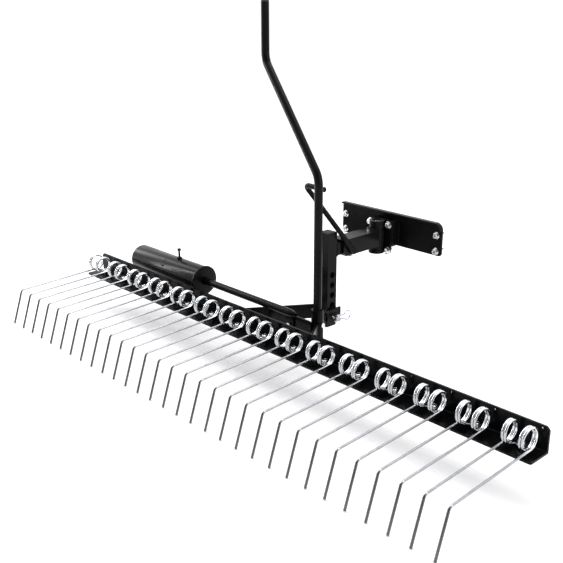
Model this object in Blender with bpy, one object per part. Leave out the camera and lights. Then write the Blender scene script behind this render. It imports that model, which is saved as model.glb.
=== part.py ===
"""Tow-front lawn dethatcher: a spring-tine rake that a riding mower carries on its nose.

Frame: metres, +Z up, +X along the rake bar, +Y towards the mower.
The origin is the middle of the mounting plate's rear face.
Every part is laid out from the rake bar's inner corner and then moved to that origin.
"""
import math

import bmesh
import bpy
from mathutils import Matrix, Vector

# The rake bar's inner corner in the part's frame.
CORNER = Vector((-0.007, -0.436, -0.1965))

# Gap left between pieces that touch.
GAP = 0.0003

# Rake bar: a steel angle.
BAR_LEFT = -0.750
BAR_RIGHT = 0.7525
BAR_DEPTH = 0.055
BAR_HEIGHT = 0.050
BAR_WALL = 0.0048
BAR_CLIP = 0.007
FLANGE_CLIP = 0.003
BAR_HOLE_RADIUS = 0.0028

# Spring tines: double torsion springs, clamped under their middle loop.
TINE_COUNT = 15
TINE_PITCH = 0.1016
WIRE_RADIUS = 0.0028
COIL_RADIUS = 0.0216
COIL_CENTRE = (-0.0345, 0.0330)
COIL_TURNS = 2
COIL_PITCH = 0.0060
LEG_OFFSET = 0.0255
LEG_BEND = (-0.2757, 0.0016)
TINE_TIP = (-0.3069, -0.0895)
LEG_BEND_RADIUS = 0.009
TINE_LOOP_Y = -0.0080
TINE_LOOP_Z = 0.0034
TINE_BOLT_Y = -0.0180
WIRE_SIDES = 5
COIL_STEPS = 10

# Frame behind the bar.
BRACE_FRONT = (0.1315, 0.0051)
BRACE_BACK = (0.0205, 0.1717)
BRACE_HEIGHT = 0.038
BRACE_WALL = 0.006
CROSS_PLATE_X = (-0.0795, 0.0700)
CROSS_PLATE_Y = (0.0700, 0.0760)
CROSS_PLATE_Z = (0.0030, 0.0410)
EAR_X = (0.0200, 0.0260)
EAR_Y = (0.1720, 0.2230)
EAR_Z = (-0.0085, 0.0300)
EAR_ROUND = 0.0180

# Height post and its row of pin holes.
POST_HALF = 0.0165
POST_WALL = 0.0035
POST_Y = 0.1985
POST_Z = (-0.0200, 0.2265)
POST_HOLE_Y = 0.1995
POST_HOLE_Z = 0.0105
POST_HOLE_PITCH = 0.0270
POST_HOLE_COUNT = 5
POST_HOLE_RADIUS = 0.0085
PIN_RADIUS = 0.0079
PIN_X = (-0.0340, 0.0420)
CLIP_X = 0.0350
CLIP_WIRE = 0.0016

# Swivel: sleeve, kingpin and the tube that reaches forward to the post.
SWIVEL_Y = 0.386
SLEEVE_RADIUS = 0.0205
SLEEVE_BORE = 0.0133
SLEEVE_Z = (0.1463, 0.2260)
KINGPIN_RADIUS = 0.0127
KINGPIN_NECK = 0.0100
KINGPIN_TOP = 0.2220
TUBE_HALF = 0.0220
TUBE_WALL = 0.0040
TUBE_CENTRE_Z = 0.1815
TUBE_Y = (0.2340, 0.3700)
INNER_HALF = 0.0158
INNER_WALL = 0.0030
INNER_END_Y = 0.3300
SET_BOLT_PLACE = (0.0040, 0.2480)
CLAMP_BOLT_PLACE = (0.0, 0.2850)

# Handle and the bent rod that it rests on.
HANDLE_PLACE = (0.0700, 0.0917)
HANDLE_RADIUS = 0.01025
HANDLE_BORE = 0.0084
HANDLE_BEND_Z = 0.3926
HANDLE_TOP = (-0.2030, 0.1765)
HANDLE_TOP_BEND_Z = 0.6365
HANDLE_END_Z = 0.775
SOCKET_RADIUS = 0.01525
SOCKET_BORE = 0.0110
SOCKET_Z = (-0.0070, 0.0686)
HANDLE_BOLT_Z = 0.0325
REST_RADIUS = 0.0065
REST_FOOT = (0.0289, 0.2676, 0.1670)
REST_KNEE = (0.0289, 0.2303, 0.2099)
REST_CORNER = (-0.0150, 0.1300, 0.3575)
REST_FINGER = (0.0530, 0.1300, 0.3555)

# Pivot bracket on the mounting plate.
LUG_RADIUS = 0.0210
LUG_Z = (0.1370, 0.1460)
BRACKET_HALF = 0.0390
BRACKET_Z = (0.1335, 0.2255)
BRACKET_ROUND = 0.0140
WING_Y = (0.3963, 0.4022)
RECESS_HALF = 0.0213
RECESS_WALL = 0.0030
WEB_Y = (0.4072, 0.4105)
BRACKET_BAR_X = (0.0247, 0.0390)
BRACKET_BAR_Y = (0.4025, 0.4297)
BRACKET_BAR_Z = (0.1560, 0.2220)
BRACKET_BOLT_X = 0.0310
BRACKET_WASHER = 0.0020
BRACKET_BOLT_Z = (0.1465, 0.2147)

# Mounting plate; its rear face is the interface to the mower.
PLATE_Y = (0.4300, 0.4360)
PLATE_X = (-0.1640, 0.1780)
PLATE_Z = (0.1525, 0.2405)
PLATE_LIP = 0.0080
PLATE_LIP_WALL = 0.0050
PLATE_TOP_ROUND = 0.0200
PLATE_LOW_ROUND = 0.0080
PLATE_SMALL_ROUND = 0.0040
MOUNT_BOLT_X = (-0.1510, 0.1620)
MOUNT_BOLT_Z = (0.1645, 0.2070)
MOUNT_BOLT_REACH = 0.0235
WASHER_RADIUS = 0.0090
WASHER_WALL = 0.0016

# Sliding counterweight and its arm.
ARM_YZ = (0.0585, 0.0520)
ARM_RADIUS = 0.0095
ARM_X = (-0.6270, 0.0310)
ARM_TAPER = 0.0200
WEIGHT_X = (-0.6260, -0.3330)
WEIGHT_RADIUS = 0.0380
WEIGHT_BORE = 0.0107
WEIGHT_CAP_WALL = 0.0057
WEIGHT_CAP_RADIUS = 0.0410
WEIGHT_BOLT_X = -0.4390
WEIGHT_BOLT_TOP = 0.0290
WEIGHT_PLUG_X = -0.4750
WEIGHT_PLUG_TILT = math.radians(40.0)
WEIGHT_PLUG_RADIUS = 0.0110

# Fasteners.
BOLT_RADIUS = 0.0040
BOLT_HOLE = 0.0046
HEX_RADIUS = 0.0075
SMALL_BOLT_RADIUS = 0.0030
SMALL_BOLT_HOLE = 0.0035

# Colour, metallic and roughness of each finish.
BLACK_COAT = ((0.012, 0.012, 0.013, 1.0), 0.0, 0.35)
BRIGHT_ZINC = ((0.72, 0.73, 0.75, 1.0), 1.0, 0.28)
DARK_PLASTIC = ((0.02, 0.02, 0.02, 1.0), 0.0, 0.55)


# ---------------------------------------------------------------- scene and frames

def clear_scene():
    for item in list(bpy.data.objects):
        bpy.data.objects.remove(item, do_unlink=True)


def make_frame(name, place, parent=None):
    """An empty on a body's joint axis; place is measured from the bar's inner corner."""
    frame = bpy.data.objects.new(name, None)
    frame.empty_display_size = 0.03
    bpy.context.scene.collection.objects.link(frame)
    world = CORNER + Vector(place)
    frame["world"] = tuple(world)
    if parent:
        frame.parent = parent
        world = world - Vector(parent["world"])
    frame.location = world
    return frame


def make_material(name, finish):
    material = bpy.data.materials.get(name)
    if material:
        return material
    colour, metallic, roughness = finish
    material = bpy.data.materials.new(name)
    material.use_nodes = True
    shader = material.node_tree.nodes["Principled BSDF"]
    shader.inputs["Base Color"].default_value = colour
    shader.inputs["Metallic"].default_value = metallic
    shader.inputs["Roughness"].default_value = roughness
    material.diffuse_color = colour
    return material


def add_object(name, mesh, frame, finish, slot=None, shift=(0.0, 0.0, 0.0)):
    """One named piece; its mesh is laid out from the bar's inner corner."""
    piece = bpy.data.objects.new(name, mesh)
    bpy.context.scene.collection.objects.link(piece)
    if not mesh.materials:
        mesh.materials.append(make_material(slot or name, finish))
    piece.parent = frame
    piece.location = CORNER + Vector(shift) - Vector(frame["world"])
    return piece


# ---------------------------------------------------------------- mesh building

def loft(mesh, rings, closed=False):
    """Skin a list of equal rings; the ends are capped unless the rings close on themselves."""
    loops = [[mesh.verts.new(point) for point in ring] for ring in rings]
    pairs = list(zip(loops, loops[1:]))
    if closed:
        pairs.append((loops[-1], loops[0]))
    count = len(rings[0])
    for first, second in pairs:
        for i in range(count):
            j = (i + 1) % count
            mesh.faces.new((first[i], first[j], second[j], second[i]))
    if not closed:
        mesh.faces.new(list(reversed(loops[0])))
        mesh.faces.new(loops[-1])


def build_mesh(name, *shapes, smooth=False):
    """A mesh made of lofts; each shape is (rings, closed)."""
    work = bmesh.new()
    for rings, closed in shapes:
        loft(work, rings, closed)
    bmesh.ops.recalc_face_normals(work, faces=work.faces)
    mesh = bpy.data.meshes.new(name)
    work.to_mesh(mesh)
    work.free()
    if smooth:
        mesh.shade_smooth()
        mesh.set_sharp_from_angle(angle=math.radians(35.0))
    return mesh


def lay(outline, axis, offset):
    """Put a flat outline square to an axis: X gives (y, z), Y gives (x, z), Z gives (x, y)."""
    if axis == "X":
        return [Vector((offset, u, v)) for u, v in outline]
    if axis == "Y":
        return [Vector((u, offset, v)) for u, v in outline]
    return [Vector((u, v, offset)) for u, v in outline]


def circle(radius, sides, centre=(0.0, 0.0), turn=0.0):
    angles = [turn + 2.0 * math.pi * i / sides for i in range(sides)]
    return [(centre[0] + radius * math.cos(a), centre[1] + radius * math.sin(a)) for a in angles]


def rectangle(low_u, high_u, low_v, high_v):
    return [(low_u, low_v), (high_u, low_v), (high_u, high_v), (low_u, high_v)]


def arc(centre, radius, start, end, steps):
    """Points on an arc, angles in degrees."""
    angles = [math.radians(start + (end - start) * i / steps) for i in range(steps + 1)]
    return [(centre[0] + radius * math.cos(a), centre[1] + radius * math.sin(a)) for a in angles]


def rounded(low_u, high_u, low_v, high_v, low_round, high_round, steps=4):
    """A rectangle with rounded lower and upper corners."""
    points = []
    points += arc((low_u + low_round, low_v + low_round), low_round, 180.0, 270.0, steps)
    points += arc((high_u - low_round, low_v + low_round), low_round, 270.0, 360.0, steps)
    points += arc((high_u - high_round, high_v - high_round), high_round, 0.0, 90.0, steps)
    points += arc((low_u + high_round, high_v - high_round), high_round, 90.0, 180.0, steps)
    return points


def prism(outline, axis, start, end):
    return ([lay(outline, axis, start), lay(outline, axis, end)], False)


def turned(profile, axis, centre, sides):
    """A solid of revolution with closed ends; profile lists (offset, radius)."""
    return ([lay(circle(radius, sides, centre), axis, offset) for offset, radius in profile], False)


def pipe(axis, centre, start, end, radius, bore, sides):
    """A straight round tube, open at both ends."""
    sizes = [(start, radius), (end, radius), (end, bore), (start, bore)]
    return ([lay(circle(size, sides, centre), axis, offset) for offset, size in sizes], True)


def square_tube(axis, start, end, centre, half, wall):
    """A straight square tube, open at both ends."""
    inner = half - wall
    rings = []
    for offset, reach in ((start, half), (end, half), (end, inner), (start, inner)):
        outline = rectangle(centre[0] - reach, centre[0] + reach, centre[1] - reach, centre[1] + reach)
        rings.append(lay(outline, axis, offset))
    return (rings, True)


def nut(axis, centre, start, end, radius, bore):
    """A hexagon nut with a through hole."""
    outer = []
    corners = circle(radius, 6, centre, math.radians(30.0))
    for first, second in zip(corners, corners[1:] + corners[:1]):
        outer += [first, ((first[0] + second[0]) / 2.0, (first[1] + second[1]) / 2.0)]
    inner = circle(bore, 12, centre, math.radians(30.0))
    rings = [lay(outer, axis, start), lay(outer, axis, end), lay(inner, axis, end), lay(inner, axis, start)]
    return (rings, True)


def bolt(axis, centre, head_start, head_end, shank_end, head_radius, shank_radius):
    """A hexagon bolt on an axis: its head runs from head_start to head_end."""
    sides = 12
    corners = circle(head_radius, 6, centre, math.radians(30.0))
    head = []
    for first, second in zip(corners, corners[1:] + corners[:1]):
        head += [first, ((first[0] + second[0]) / 2.0, (first[1] + second[1]) / 2.0)]
    shank = circle(shank_radius, sides, centre, math.radians(30.0))
    rings = [lay(head, axis, head_start), lay(head, axis, head_end)]
    rings += [lay(shank, axis, head_end), lay(shank, axis, shank_end)]
    return (rings, False)


def sweep(path, radius, sides):
    """A round wire along a path, carried without twist."""
    rings = []
    normal = None
    last = len(path) - 1
    for i, point in enumerate(path):
        tangent = (path[min(i + 1, last)] - path[max(i - 1, 0)]).normalized()
        if normal is None:
            guide = Vector((0.0, 0.0, 1.0)) if abs(tangent.z) < 0.9 else Vector((1.0, 0.0, 0.0))
            normal = tangent.cross(guide).normalized()
        normal = (normal - tangent * normal.dot(tangent)).normalized()
        side = tangent.cross(normal)
        ring = []
        for k in range(sides):
            a = 2.0 * math.pi * k / sides
            ring.append(point + normal * (radius * math.cos(a)) + side * (radius * math.sin(a)))
        rings.append(ring)
    return rings


def bend_path(points, radius, steps):
    """Straight runs joined by round bends of one radius."""
    path = [points[0]]
    for before, corner, after in zip(points, points[1:], points[2:]):
        inward = (corner - before).normalized()
        outward = (after - corner).normalized()
        turn = inward.angle(outward)
        setback = radius * math.tan(turn / 2.0)
        start = corner - inward * setback
        bisector = (outward - inward).normalized()
        centre = corner + bisector * (radius / math.cos(turn / 2.0))
        axis = inward.cross(outward).normalized()
        for i in range(steps + 1):
            swing = Matrix.Rotation(turn * i / steps, 3, axis)
            path.append(centre + swing @ (start - centre))
    path.append(points[-1])
    return path


def cut(piece, name, *shapes, join=False):
    """Cut shapes out of a piece, or join them to it, with a Boolean modifier."""
    tool = bpy.data.objects.new(name, build_mesh(name, *shapes))
    bpy.context.scene.collection.objects.link(tool)
    tool.parent = piece
    tool.hide_render = True
    tool.display_type = "WIRE"
    modifier = piece.modifiers.new(name, "BOOLEAN")
    modifier.operation = "UNION" if join else "DIFFERENCE"
    modifier.solver = "EXACT"
    modifier.object = tool


# ---------------------------------------------------------------- mower mount

def make_mount_plate(frame):
    """Pressed plate; a stiffening lip runs along its top edge and round one upper corner."""
    left, right = PLATE_X
    low, top = PLATE_Z
    small, wide, large = PLATE_SMALL_ROUND, PLATE_LOW_ROUND, PLATE_TOP_ROUND
    outline = arc((left + wide, low + wide), wide, 180.0, 270.0, 4)
    outline += arc((right - wide, low + wide), wide, 270.0, 360.0, 4)
    outline += arc((right - large, top - large), large, 0.0, 90.0, 6)
    outline += arc((left + small, top - small), small, 90.0, 180.0, 3)
    front = PLATE_Y[0] - PLATE_LIP
    plate = add_object("mount_plate", build_mesh("mount_plate", prism(outline, "Y", front, PLATE_Y[1])),
                       frame, BLACK_COAT)
    inner = large - PLATE_LIP_WALL
    over = 0.01
    pocket = [(left - over, low - over), (right + over, low - over), (right + over, top - large)]
    pocket += arc((right - large, top - large), inner, 0.0, 90.0, 6)
    pocket += [(left - over, top - PLATE_LIP_WALL)]
    cut(plate, "plate_pocket", prism(pocket, "Y", front - over, PLATE_Y[0]))
    holes = []
    for x in MOUNT_BOLT_X:
        for z in MOUNT_BOLT_Z:
            holes.append(prism(circle(BOLT_HOLE, 12, (x, z)), "Y", PLATE_Y[0] - over, PLATE_Y[1] + over))
    cut(plate, "plate_holes", *holes)


def make_mount_fasteners(frame):
    """Bolts with washers, their heads on the front of the plate."""
    number = 0
    for x in MOUNT_BOLT_X:
        for z in MOUNT_BOLT_Z:
            number += 1
            seat = PLATE_Y[0] - GAP
            shape = pipe("Y", (x, z), seat - WASHER_WALL, seat, WASHER_RADIUS, BOLT_HOLE, 16)
            add_object(f"mount_washer_{number}", build_mesh("mount_washer", shape, smooth=True), frame,
                       BRIGHT_ZINC, "mount_washer")
            head = seat - WASHER_WALL - GAP
            end = PLATE_Y[1] + MOUNT_BOLT_REACH
            shape = bolt("Y", (x, z), head - 0.0053, head, end, HEX_RADIUS, BOLT_RADIUS)
            add_object(f"mount_bolt_{number}", build_mesh("mount_bolt", shape), frame,
                       BRIGHT_ZINC, "mount_bolt")


def make_bracket_bars(frame):
    """Two bars welded between the plate and the pivot bracket, tapped for the upper bolts."""
    for name, side in (("bracket_bar_left", -1.0), ("bracket_bar_right", 1.0)):
        inner, outer = sorted(side * x for x in BRACKET_BAR_X)
        outline = rectangle(inner, outer, *BRACKET_BAR_Z)
        bar = add_object(name, build_mesh(name, prism(outline, "Y", *BRACKET_BAR_Y)), frame,
                         BLACK_COAT, "bracket_bar")
        hole = circle(BOLT_RADIUS + GAP, 12, (side * BRACKET_BOLT_X, BRACKET_BOLT_Z[1]))
        cut(bar, name + "_hole", prism(hole, "Y", BRACKET_BAR_Y[0] - 0.005, BRACKET_BAR_Y[0] + 0.0135))


def make_pivot_bracket(frame):
    """Plate pressed into a recess behind the swivel sleeve, with a round lug under the sleeve."""
    outline = [(-BRACKET_HALF, WING_Y[0]), (-RECESS_HALF, WING_Y[0]), (-RECESS_HALF, WEB_Y[0])]
    outline += [(RECESS_HALF, WEB_Y[0]), (RECESS_HALF, WING_Y[0]), (BRACKET_HALF, WING_Y[0])]
    outer = RECESS_HALF + RECESS_WALL
    outline += [(BRACKET_HALF, WING_Y[1]), (outer, WING_Y[1]), (outer, WEB_Y[1])]
    outline += [(-outer, WEB_Y[1]), (-outer, WING_Y[1]), (-BRACKET_HALF, WING_Y[1])]
    mesh = build_mesh("pivot_bracket", prism(outline, "Z", *BRACKET_Z))
    bracket = add_object("pivot_bracket", mesh, frame, BLACK_COAT)
    root = WEB_Y[0] + 0.0015
    lug = [(LUG_RADIUS * 0.78, root), (-LUG_RADIUS * 0.78, root)]
    lug += arc((0.0, SWIVEL_Y), LUG_RADIUS, 142.0, 398.0, 16)
    cut(bracket, "pivot_lug", prism(lug, "Z", *LUG_Z), join=True)
    over = 0.01
    corners = []
    for side in (-1.0, 1.0):
        edge = side * BRACKET_HALF
        middle = (edge - side * BRACKET_ROUND, BRACKET_Z[0] + BRACKET_ROUND)
        turn = 0.0 if side > 0.0 else 180.0
        shape = arc(middle, BRACKET_ROUND, turn, 270.0 if side < 0.0 else -90.0, 5)
        shape += [(middle[0], BRACKET_Z[0] - over), (edge + side * over, BRACKET_Z[0] - over)]
        shape += [(edge + side * over, middle[1])]
        corners.append(prism(shape, "Y", WING_Y[0] - over, WING_Y[1] + over))
    cut(bracket, "wing_corners", *corners)
    holes = []
    for x in (-BRACKET_BOLT_X, BRACKET_BOLT_X):
        for z in BRACKET_BOLT_Z:
            holes.append(prism(circle(BOLT_HOLE, 12, (x, z)), "Y", WING_Y[0] - over, WING_Y[1] + over))
    cut(bracket, "bracket_holes", *holes)
    seat = circle(KINGPIN_NECK + 0.0005, 16, (0.0, SWIVEL_Y))
    cut(bracket, "kingpin_seat", prism(seat, "Z", LUG_Z[0] - over, LUG_Z[1] + over))


def make_bracket_bolts(frame):
    """Upper bolts reach into the bars; lower ones end behind. Each head leaves room for a thin washer."""
    number = 0
    for x in (-BRACKET_BOLT_X, BRACKET_BOLT_X):
        for z, reach in zip(BRACKET_BOLT_Z, (0.0080, 0.0120)):
            number += 1
            head = WING_Y[0] - GAP - BRACKET_WASHER
            shape = bolt("Y", (x, z), head - 0.0065, head, WING_Y[1] + reach, HEX_RADIUS, BOLT_RADIUS)
            add_object(f"bracket_bolt_{number}", build_mesh("bracket_bolt", shape), frame,
                       BRIGHT_ZINC, "bracket_bolt")


def make_kingpin(frame):
    chamfer = 0.0015
    profile = [(LUG_Z[0] + GAP, KINGPIN_NECK), (LUG_Z[1] + GAP, KINGPIN_NECK)]
    profile += [(LUG_Z[1] + GAP, KINGPIN_RADIUS), (KINGPIN_TOP - chamfer, KINGPIN_RADIUS)]
    profile += [(KINGPIN_TOP, KINGPIN_RADIUS - chamfer)]
    mesh = build_mesh("kingpin", turned(profile, "Z", (0.0, SWIVEL_Y), 16), smooth=True)
    add_object("kingpin", mesh, frame, BRIGHT_ZINC)


# ---------------------------------------------------------------- swivel

def make_pivot_sleeve(frame):
    shape = pipe("Z", (0.0, SWIVEL_Y), *SLEEVE_Z, SLEEVE_RADIUS, SLEEVE_BORE, 20)
    add_object("pivot_sleeve", build_mesh("pivot_sleeve", shape, smooth=True), frame, BLACK_COAT)


def make_cross_tube(frame):
    """Square tube welded to the sleeve, its lower front corner cut on a slant."""
    shape = square_tube("Y", *TUBE_Y, (0.0, TUBE_CENTRE_Z), TUBE_HALF, TUBE_WALL)
    tube = add_object("cross_tube", build_mesh("cross_tube", shape), frame, BLACK_COAT)
    low = TUBE_CENTRE_Z - TUBE_HALF
    cope = circle(SLEEVE_RADIUS + GAP, 20, (0.0, SWIVEL_Y))
    cut(tube, "sleeve_cope", prism(cope, "Z", low - 0.01, low + 2.0 * TUBE_HALF + 0.01))
    slant = [(TUBE_Y[0] - 0.01, low - 0.01), (TUBE_Y[0] + 0.02, low - 0.01), (TUBE_Y[0] - 0.01, low + 0.02)]
    cut(tube, "front_slant", prism(slant, "X", -TUBE_HALF - 0.01, TUBE_HALF + 0.01))
    hole = circle(SMALL_BOLT_HOLE, 12, SET_BOLT_PLACE)
    cut(tube, "set_bolt_hole", prism(hole, "Z", TUBE_CENTRE_Z, TUBE_CENTRE_Z + TUBE_HALF + 0.01))
    hole = circle(BOLT_HOLE, 12, CLAMP_BOLT_PLACE)
    cut(tube, "clamp_bolt_hole", prism(hole, "Z", low - 0.01, TUBE_CENTRE_Z))


def make_inner_tube(frame):
    start = POST_Y + POST_HALF + GAP
    shape = square_tube("Y", start, INNER_END_Y, (0.0, TUBE_CENTRE_Z), INNER_HALF, INNER_WALL)
    add_object("inner_tube", build_mesh("inner_tube", shape), frame, BLACK_COAT)


def make_tube_bolts(frame):
    """Set bolt on top of the cross tube and clamp bolt under it, both bearing on the inner tube."""
    top = TUBE_CENTRE_Z + TUBE_HALF + GAP
    bearing = TUBE_CENTRE_Z + INNER_HALF + GAP
    shape = bolt("Z", SET_BOLT_PLACE, top + 0.006, top, bearing, HEX_RADIUS, SMALL_BOLT_RADIUS)
    add_object("tube_set_bolt", build_mesh("tube_set_bolt", shape), frame, BRIGHT_ZINC)
    low = TUBE_CENTRE_Z - TUBE_HALF - GAP
    bearing = TUBE_CENTRE_Z - INNER_HALF - GAP
    shape = bolt("Z", CLAMP_BOLT_PLACE, low - 0.012, low - 0.0065, bearing, HEX_RADIUS, BOLT_RADIUS)
    add_object("clamp_bolt", build_mesh("clamp_bolt", shape), frame, BRIGHT_ZINC)


def make_handle_rest(frame):
    """Bent rod: rises from the tube's side and ends in a finger behind the lever."""
    points = [Vector(REST_FOOT), Vector(REST_KNEE), Vector(REST_CORNER), Vector(REST_FINGER)]
    path = bend_path(points, 0.012, 6)
    mesh = build_mesh("handle_rest", (sweep(path, REST_RADIUS, 12), False), smooth=True)
    add_object("handle_rest", mesh, frame, BLACK_COAT)


def make_post(frame):
    """Square post with a row of pin holes through its side walls."""
    shape = square_tube("Z", *POST_Z, (0.0, POST_Y), POST_HALF, POST_WALL)
    post = add_object("post", build_mesh("post", shape), frame, BLACK_COAT)
    holes = []
    for i in range(POST_HOLE_COUNT):
        centre = (POST_HOLE_Y, POST_HOLE_Z + i * POST_HOLE_PITCH)
        outline = circle(POST_HOLE_RADIUS, 16, centre)
        holes.append(prism(outline, "X", -POST_HALF - 0.01, POST_HALF + 0.01))
    cut(post, "post_holes", *holes)
    half = POST_HALF - 0.0006
    plug = POST_HALF - POST_WALL - 0.0005
    rings = []
    for z, reach in ((POST_Z[1] - 0.008, plug), (POST_Z[1] + GAP, plug), (POST_Z[1] + GAP, half),
                     (POST_Z[1] + 0.0022, half), (POST_Z[1] + 0.0032, half - 0.0015)):
        rings.append(lay(rectangle(-reach, reach, POST_Y - reach, POST_Y + reach), "Z", z))
    add_object("post_cap", build_mesh("post_cap", (rings, False)), frame, DARK_PLASTIC)


# ---------------------------------------------------------------- rake frame

def make_ears(frame):
    """Two plates beside the post, drilled for the hitch pin."""
    for name, side in (("clevis_ear_left", -1.0), ("clevis_ear_right", 1.0)):
        outline = [(EAR_Y[0], EAR_Z[0]), (EAR_Y[1], EAR_Z[0]), (EAR_Y[1], EAR_Z[1])]
        outline += arc((EAR_Y[0] + EAR_ROUND, EAR_Z[1] - EAR_ROUND), EAR_ROUND, 90.0, 180.0, 5)
        outline += [(EAR_Y[0], EAR_Z[0] + 0.001)]
        mesh = build_mesh(name, prism(outline, "X", side * EAR_X[0], side * EAR_X[1]))
        ear = add_object(name, mesh, frame, BLACK_COAT, "clevis_ear")
        hole = circle(PIN_RADIUS + 0.0005, 16, (POST_HOLE_Y, POST_HOLE_Z))
        cut(ear, name + "_hole", prism(hole, "X", side * (EAR_X[0] - 0.005), side * (EAR_X[1] + 0.005)))


def brace_line():
    """Direction of the right brace in plan and its half thickness along X."""
    run = Vector((BRACE_FRONT[0] - BRACE_BACK[0], BRACE_FRONT[1] - BRACE_BACK[1]))
    half = BRACE_WALL / 2.0 * run.length / abs(run.y)
    return run.normalized(), half


def make_braces(frame):
    """Flat bars on edge that spread from the clevis to the rake bar."""
    half = brace_line()[1]
    for name, side in (("brace_left", -1.0), ("brace_right", 1.0)):
        front = [(side * (BRACE_FRONT[0] + offset), BRACE_FRONT[1]) for offset in (-half, half)]
        back = [(side * (BRACE_BACK[0] + offset), BRACE_BACK[1]) for offset in (half, -half)]
        outline = front + back
        mesh = build_mesh(name, prism(outline, "Z", 0.0, BRACE_HEIGHT))
        brace = add_object(name, mesh, frame, BLACK_COAT, "brace")
        if side > 0.0:
            hole = circle(SMALL_BOLT_HOLE, 12, (HANDLE_PLACE[1], HANDLE_BOLT_Z))
            cut(brace, "brace_hole", prism(hole, "X", HANDLE_PLACE[0] - 0.02, HANDLE_PLACE[0] + 0.03))


def make_cross_plate(frame):
    outline = [(CROSS_PLATE_X[0], CROSS_PLATE_Z[0]), (CROSS_PLATE_X[1], CROSS_PLATE_Z[0])]
    outline += arc((CROSS_PLATE_X[1] - 0.012, CROSS_PLATE_Z[1] - 0.012), 0.012, 0.0, 90.0, 4)
    outline += [(CROSS_PLATE_X[0], CROSS_PLATE_Z[1])]
    mesh = build_mesh("cross_plate", prism(outline, "Y", *CROSS_PLATE_Y))
    plate = add_object("cross_plate", mesh, frame, BLACK_COAT)
    hole = circle(SMALL_BOLT_HOLE, 12, (0.0, 0.0170))
    cut(plate, "cross_plate_hole", prism(hole, "Y", CROSS_PLATE_Y[0] - 0.01, CROSS_PLATE_Y[1] + 0.01))


def tine_places():
    middle = (TINE_COUNT - 1) / 2.0
    return [(i - middle) * TINE_PITCH for i in range(TINE_COUNT)]


def make_tine_bar(frame):
    """Steel angle with small holes between the tines and bolt holes under them."""
    section = [(-BAR_DEPTH, -BAR_WALL), (BAR_WALL, -BAR_WALL), (BAR_WALL, BAR_HEIGHT)]
    section += [(0.0, BAR_HEIGHT), (0.0, 0.0), (-BAR_DEPTH, 0.0)]
    bar = add_object("tine_bar", build_mesh("tine_bar", prism(section, "X", BAR_LEFT, BAR_RIGHT)),
                     frame, BLACK_COAT)
    shapes = []
    for x in tine_places():
        shapes.append(prism(circle(0.0042, 8, (x, TINE_BOLT_Y)), "Z", -0.015, 0.010))
        shapes.append(prism(circle(BAR_HOLE_RADIUS, 6, (x + 0.026, BAR_HEIGHT - 0.006)), "Y", -0.010, 0.015))
        if x + 0.050 < BAR_RIGHT:
            shapes.append(prism(circle(BAR_HOLE_RADIUS, 6, (x + 0.0375, -0.028)), "Z", -0.015, 0.010))
    cut(bar, "bar_holes", *shapes)
    clips = []
    over = 0.01
    for end, inward in ((BAR_LEFT, 1.0), (BAR_RIGHT, -1.0)):
        outside = end - inward * over
        corner = [(outside, -BAR_DEPTH - over), (outside, -BAR_DEPTH + FLANGE_CLIP + over)]
        corner += [(end + inward * (FLANGE_CLIP + over), -BAR_DEPTH - over)]
        clips.append(prism(corner, "Z", -0.015, 0.010))
        corner = [(outside, BAR_HEIGHT + over), (outside, BAR_HEIGHT - BAR_CLIP - over)]
        corner += [(end + inward * (BAR_CLIP + over), BAR_HEIGHT + over)]
        clips.append(prism(corner, "Y", -0.010, 0.015))
    cut(bar, "bar_end_clips", *clips)


def half_tine():
    """Centre line of one half of a tine, from the middle loop out to its tip, on the +X side."""
    centre_y, centre_z = COIL_CENTRE
    inner_x = LEG_OFFSET - COIL_TURNS * COIL_PITCH
    bottom = centre_z - COIL_RADIUS
    loop = 0.0105
    path = []
    for i in range(4):
        a = math.radians(90.0 * i / 3.0)
        path.append(Vector((loop * math.sin(a), TINE_LOOP_Y - loop * (1.0 - math.cos(a)), TINE_LOOP_Z)))
    path.append(Vector(((loop + inner_x) / 2.0, -0.0245, (TINE_LOOP_Z + bottom) / 2.0)))
    turns = COIL_TURNS * COIL_STEPS
    for i in range(turns + 1):
        a = 2.0 * math.pi * (turns - i) / COIL_STEPS
        x = LEG_OFFSET - COIL_PITCH * (turns - i) / COIL_STEPS
        path.append(Vector((x, centre_y + COIL_RADIUS * math.sin(a), centre_z - COIL_RADIUS * math.cos(a))))
    leg = [path[-1], Vector((LEG_OFFSET, *LEG_BEND)), Vector((LEG_OFFSET, *TINE_TIP))]
    return path[:-1] + bend_path(leg, LEG_BEND_RADIUS, 3)


def make_tines(frame):
    """Fifteen equal double springs; they share one mesh."""
    right = half_tine()
    left = [Vector((-point.x, point.y, point.z)) for point in reversed(right[1:])]
    mesh = build_mesh("spring_tine", (sweep(left + right, WIRE_RADIUS, WIRE_SIDES), False), smooth=True)
    for i, x in enumerate(tine_places()):
        add_object(f"spring_tine_{i + 1:02d}", mesh, frame, BRIGHT_ZINC, "spring_tine", (x, 0.0, 0.0))


# ---------------------------------------------------------------- handle

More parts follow.
